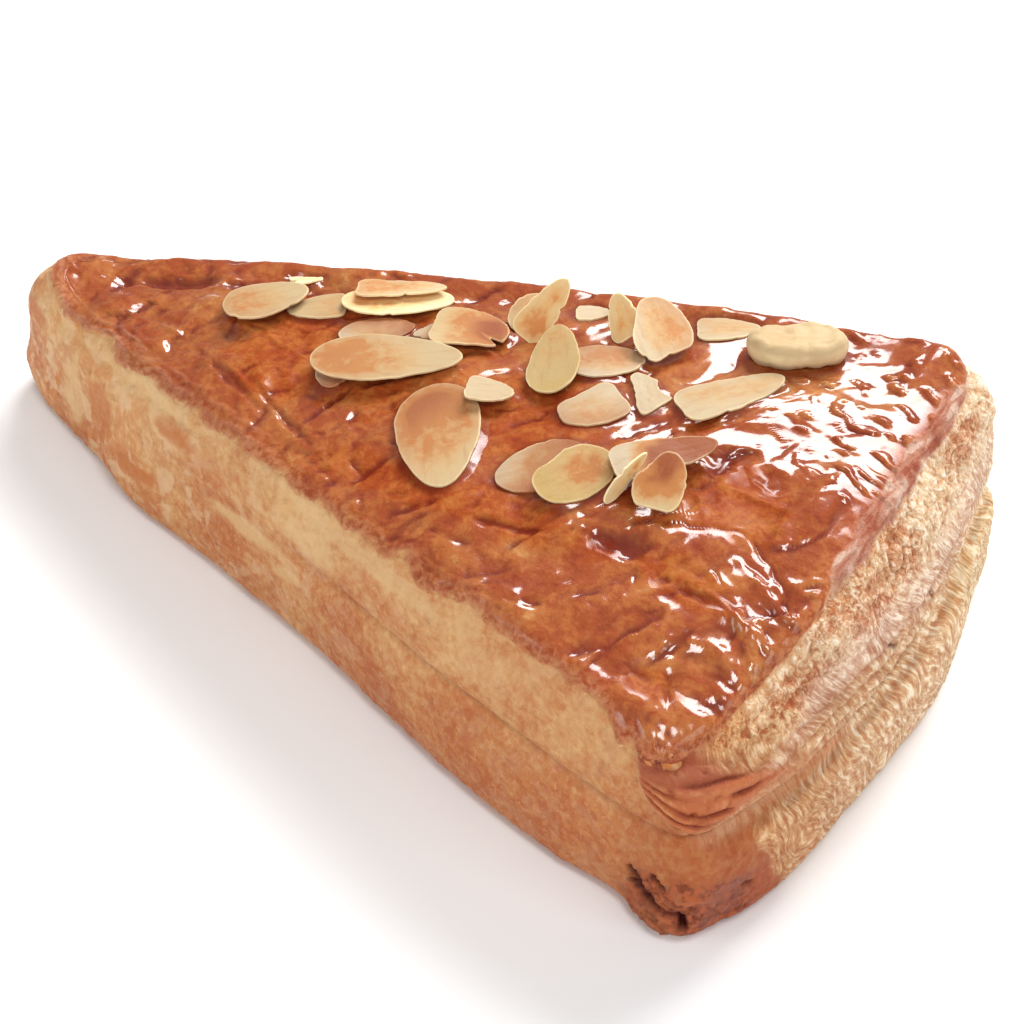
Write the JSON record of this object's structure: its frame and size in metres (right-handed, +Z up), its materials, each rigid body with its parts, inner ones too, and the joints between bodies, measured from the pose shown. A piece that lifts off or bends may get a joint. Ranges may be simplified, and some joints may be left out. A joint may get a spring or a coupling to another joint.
{
  "type": "almond pastry triangle",
  "caption": "Folded puff pastry wedge with a rounded narrow tip, layered cut edges, a glossy browned top and flaked almonds on it; it rests flat on its underside.",
  "frame": {"origin": "middle of the footprint's box, on the flat underside", "axes": "+X from the narrow tip to the wide end, +Y from the folded long side to the cut long side, +Z up"},
  "size_m": [0.1456, 0.0836, 0.0419],
  "materials": {
    "crust": "baked puff pastry, golden to brown, matt and flaky at the cut edges, with a glossy browned glaze on top",
    "pale_almond": "pale cream sliced almond with a satin face and a lighter rim",
    "toasted_almond": "toasted orange-tan sliced almond with a satin face and a pale rim"
  },
  "bodies": {
    "root": {"pastry": "crust", "almond_flake_01": "pale_almond", "almond_flake_02": "pale_almond", "almond_flake_03": "pale_almond", "almond_flake_04": "pale_almond", "almond_flake_05": "pale_almond", "almond_flake_06": "pale_almond", "almond_flake_07": "pale_almond", "almond_flake_08": "pale_almond", "almond_flake_09": "pale_almond", "almond_flake_10": "toasted_almond", "almond_flake_11": "pale_almond", "almond_flake_12": "toasted_almond", "almond_flake_13": "pale_almond", "almond_flake_14": "pale_almond", "almond_flake_15": "toasted_almond", "almond_flake_16": "pale_almond", "almond_flake_17": "pale_almond", "almond_flake_18": "pale_almond", "almond_flake_19": "pale_almond", "almond_flake_20": "toasted_almond", "almond_flake_21": "pale_almond", "almond_flake_22": "toasted_almond", "almond_flake_23": "pale_almond", "almond_flake_24": "pale_almond", "almond_flake_25": "pale_almond", "almond_flake_26": "toasted_almond", "almond_flake_27": "pale_almond", "almond_flake_28": "toasted_almond", "almond_flake_29": "pale_almond"}
  },
  "joints": []
}
